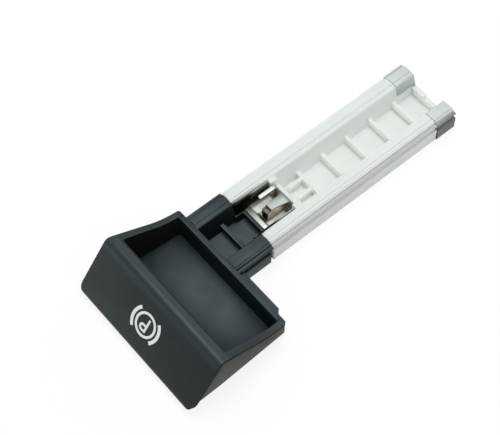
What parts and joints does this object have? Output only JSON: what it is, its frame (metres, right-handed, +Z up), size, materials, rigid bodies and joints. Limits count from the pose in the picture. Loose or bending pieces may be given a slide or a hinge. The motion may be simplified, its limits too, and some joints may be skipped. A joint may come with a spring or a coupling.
{
  "type": "parking brake release handle",
  "caption": "Dashboard pull handle that releases a parking brake: a black finger grip with a printed parking brake symbol, on a white slide rail with a steel clip for the cable.",
  "frame": {"origin": "Middle of the bounding box in X and Y, on the plane that the handle lies on.", "axes": "+Y runs along the rail away from the grip, +X is across the grip, +Z is up out of the finger tray."},
  "size_m": [0.0716, 0.1736, 0.0237],
  "materials": {
    "grip_black": "fine grained black moulding",
    "carrier_black": "plain black moulding, glass filled",
    "rail_white": "natural white acetal, low sheen",
    "pad_grey": "grey glide plastic",
    "clip_steel": "bright spring steel strip"
  },
  "bodies": {
    "root": {"grip_cover": "grip_black", "grip_carrier": "carrier_black", "slide_rail": "rail_white", "end_pad_left": "pad_grey", "end_pad_right": "pad_grey", "cable_clip": "clip_steel"}
  },
  "joints": []
}
